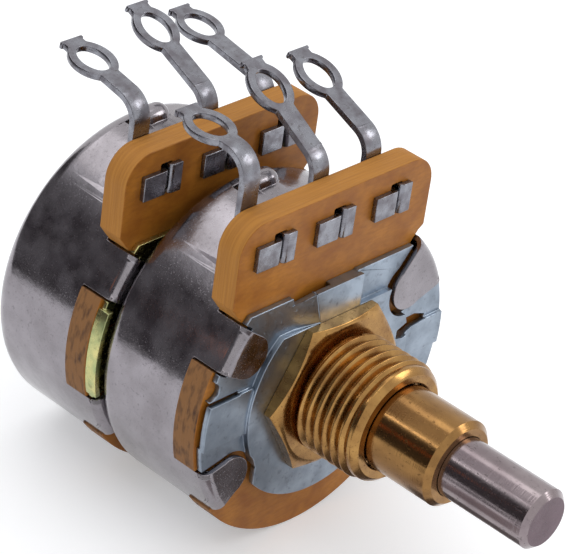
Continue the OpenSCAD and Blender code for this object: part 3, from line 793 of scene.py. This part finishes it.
@dataclass
class Studio:
    """White floor, soft light, cards that the metal mirrors, and the photograph's camera."""

    floor_z: float = -11.84
    floor_size: float = 3000.0
    floor_glow: float = 0.3
    sky_light: float = 0.75
    target: Triple = (7.141, 12.305, 0.0)
    azimuth: float = -50.05
    elevation: float = 31.519
    roll: float = 8.234
    distance: float = 201.733
    focal_px: float = 2827.013
    sensor: float = 36.0
    # Nearest and farthest that the camera sees, in m
    clip: Pair = (0.01, 100.0)

    def build(self) -> None:
        """Builds everything round the object."""
        scene = bpy.context.scene
        scene.view_settings.view_transform = "Standard"
        self.world()
        self.floor()
        # Cards seen only in mirrors: painted reflections, a dark band that fades to white upwards, an amber
        # line on the brass and a grey zone above the shafts
        self.card("dark_card", centre=(-66.0, 55.0, 45.0), across=(90.0, 108.0, 0.0),
                  up=(0.0, 0.0, 56.5), tone="#5A5658", fade=(62.0, 101.0))
        self.card("amber_card", centre=(-56.0, 27.2, 23.0), across=(0.0, 6.2, 0.0), up=(1.6, 0.0, 3.2),
                  tone="#D8845A")
        self.card("grey_card", centre=(-17.0, 22.0, 60.0), across=(21.0, 0.0, 0.0), up=(0.0, 12.0, 0.0),
                  tone="#E6E2E4")
        # Cards on the floor, seen only in mirrors: painted shade, the floor's shadow round the object as the
        # shafts, cans and end face reflect it
        self.card("floor_shade_card", centre=(-15.8, -5.2, -11.7), across=(-7.0, 1.7, 0.0), up=(0.0, 4.1, 0.0),
                  tone="#BCB0B0")
        self.card("floor_dark_shade_card", centre=(-50.0, 11.4, -11.7), across=(-18.0, 8.8, 0.0),
                  up=(0.0, 4.3, 0.0), tone="#5A5658")
        self.card("low_shade_card", centre=(0.2, -8.2, -11.6), across=(3.8, 0.0, 0.0), up=(0.0, 4.8, 0.0),
                  tone="#8A8280")
        self.card("end_shade_card", centre=(13.9, -27.2, -11.7), across=(4.5, 0.0, 0.0), up=(0.0, 3.5, 0.0),
                  tone="#CBBFC6")
        self.lamp("top_softbox", place=(-20.0, 70.0, 260.0), aim=(0.0, 5.0, 0.0), size=(260.0, 260.0),
                  power=0.23)
        self.lamp("side_softbox", place=(150.0, -120.0, 150.0), aim=(0.0, 0.0, 0.0), size=(90.0, 90.0),
                  power=0.10)
        self.lamp("glint_lamp", place=(-42.0, 29.5, 49.4), aim=(0.0, 29.5, 0.0), size=(13.0, 5.0),
                  power=0.0011)
        scene.camera = self.camera()

    def world(self) -> None:
        """White for the eye and for mirrors, and a plain soft light for the rest."""
        world = bpy.data.worlds.new("white_studio")
        bpy.context.scene.world = world
        world.use_nodes = True
        tree = world.node_tree
        tree.nodes.clear()
        soft = add(tree, "ShaderNodeBackground", {"Color": "#F2F4F8", "Strength": self.sky_light})
        white = add(tree, "ShaderNodeBackground", {"Color": "#FFFFFF", "Strength": 1.0})
        both = add(tree, "ShaderNodeMixShader", {0: self.looked_at(tree), 1: soft, 2: white})
        add(tree, "ShaderNodeOutputWorld", {"Surface": both})

    def looked_at(self, tree: bpy.types.NodeTree) -> bpy.types.Node:
        """Tells rays that show a surface, straight or in a mirror or glass, from those that light it.

        Args:
            tree: The tree of the floor's or the world's material.

        Returns:
            A node whose result is 1 for such a ray and 0 for any other.
        """
        ray = add(tree, "ShaderNodeLightPath").outputs
        seen = add(tree, "ShaderNodeMath", {0: ray["Is Camera Ray"], 1: ray["Is Glossy Ray"]},
                   operation="MAXIMUM")
        return add(tree, "ShaderNodeMath", {0: seen, 1: ray["Is Transmission Ray"]}, operation="MAXIMUM")

    def floor(self) -> None:
        """A pale floor that keeps the object's shadow."""
        half = self.floor_size / 2 * MM
        z = self.floor_z * MM
        mesh = bpy.data.meshes.new("floor")
        mesh.from_pydata([(-half, -half, z), (half, -half, z), (half, half, z), (-half, half, z)], [],
                         [(0, 1, 2, 3)])
        floor = bpy.data.objects.new("floor", mesh)
        bpy.context.scene.collection.objects.link(floor)
        paint = bpy.data.materials.new("white_card_matt")
        paint.use_nodes = True
        tree = paint.node_tree
        tree.nodes.clear()
        lift = add(tree, "ShaderNodeMath", {0: self.looked_at(tree), 1: self.floor_glow},
                   operation="MULTIPLY")
        matt = add(tree, "ShaderNodeBsdfDiffuse", {"Color": "#F4F4F4"})
        glow = add(tree, "ShaderNodeEmission", {"Color": "#FFFFFF", "Strength": lift})
        both = add(tree, "ShaderNodeAddShader", {0: matt, 1: glow})
        add(tree, "ShaderNodeOutputMaterial", {"Surface": both})
        mesh.materials.append(paint)

    def card(self, name: str, centre: Triple, across: Triple, up: Triple, tone: str,
             fade: Pair = NO_FADE) -> None:
        """Puts up a matt card that shows in mirrors only, and lights and shades nothing matt.

        Args:
            name: Name of the card.
            centre: Its middle, in mm.
            across: Half its width, in mm.
            up: Half its height, in mm.
            tone: Its sRGB colour.
            fade: Heights between which it turns from its tone to white, in mm.
        """
        middle, wide, high = (Vector(v) * MM for v in (centre, across, up))
        mesh = bpy.data.meshes.new(name)
        corners = (middle - wide - high, middle + wide - high, middle + wide + high, middle - wide + high)
        mesh.from_pydata(corners, [], [(0, 1, 2, 3)])
        card = bpy.data.objects.new(name, mesh)
        bpy.context.scene.collection.objects.link(card)
        paint = bpy.data.materials.new(name + "_matt")
        paint.use_nodes = True
        tree = paint.node_tree
        tree.nodes.clear()
        place = add(tree, "ShaderNodeTexCoord").outputs["Object"]
        height = add(tree, "ShaderNodeSeparateXYZ", {0: place}).outputs["Z"]
        pale = add(tree, "ShaderNodeMapRange",
                   {"Value": height, "From Min": fade[0] * MM, "From Max": fade[1] * MM},
                   interpolation_type="SMOOTHSTEP")
        colour = add(tree, "ShaderNodeMix", {"Factor": pale, "A": tone, "B": "#FFFFFF"}, data_type="RGBA")
        matt = add(tree, "ShaderNodeBsdfDiffuse", {"Color": colour})
        add(tree, "ShaderNodeOutputMaterial", {"Surface": matt})
        mesh.materials.append(paint)
        card.visible_camera = False
        card.visible_diffuse = False
        card.visible_shadow = False

    def lamp(self, name: str, place: Triple, aim: Triple, size: Pair, power: float) -> None:
        """Hangs a softbox.

        Args:
            name: Name of the lamp.
            place: Where it hangs, in mm.
            aim: Where it points, in mm.
            size: Its width and height, in mm.
            power: Its power, in watts.
        """
        light = bpy.data.lights.new(name, "AREA")
        light.shape = "RECTANGLE"
        light.size = size[0] * MM
        light.size_y = size[1] * MM
        light.energy = power
        lamp = bpy.data.objects.new(name, light)
        lamp.location = Vector(place) * MM
        lamp.rotation_euler = (Vector(aim) - Vector(place)).to_track_quat("-Z", "Y").to_euler()
        lamp.visible_camera = False
        bpy.context.scene.collection.objects.link(lamp)

    def camera(self) -> bpy.types.Object:
        """Sets up the camera that was fitted to the photograph.

        Returns:
            The camera.
        """
        a, e, r = (math.radians(v) for v in (self.azimuth, self.elevation, self.roll))
        back = Vector((math.sin(a) * math.cos(e), -math.cos(a) * math.cos(e), math.sin(e)))
        level = Vector((math.cos(a), math.sin(a), 0))
        upright = back.cross(level)
        right = math.cos(r) * level + math.sin(r) * upright
        up = -math.sin(r) * level + math.cos(r) * upright
        lens = bpy.data.cameras.new("camera")
        lens.sensor_fit = "HORIZONTAL"
        lens.sensor_width = self.sensor
        lens.lens = self.focal_px / IMAGE_WIDTH * self.sensor
        lens.clip_start, lens.clip_end = self.clip
        camera = bpy.data.objects.new("camera", lens)
        turn = Matrix((right, up, back)).transposed().to_4x4()
        camera.matrix_world = Matrix.Translation((Vector(self.target) + self.distance * back) * MM) @ turn
        bpy.context.scene.collection.objects.link(camera)
        return camera


def main() -> None:
    """Builds the pieces and the studio."""
    logging.basicConfig(level=logging.INFO, format="%(name)s: %(message)s")
    Bushing().build()
    Gang("front", Slot.ZINC).build()
    Gang("rear", Slot.YELLOWED).build()
    dress("rear_bearing", Slot.BRASS)
    TurningSet(Body.OUTER, "outer_shaft", "outer_clip", "front", Slot.SHAFT_BRASS).build()
    TurningSet(Body.INNER, "inner_shaft", "inner_clip", "rear", Slot.STEEL).build()
    Studio().build()
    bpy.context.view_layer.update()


if __name__ == "__main__":
    main()
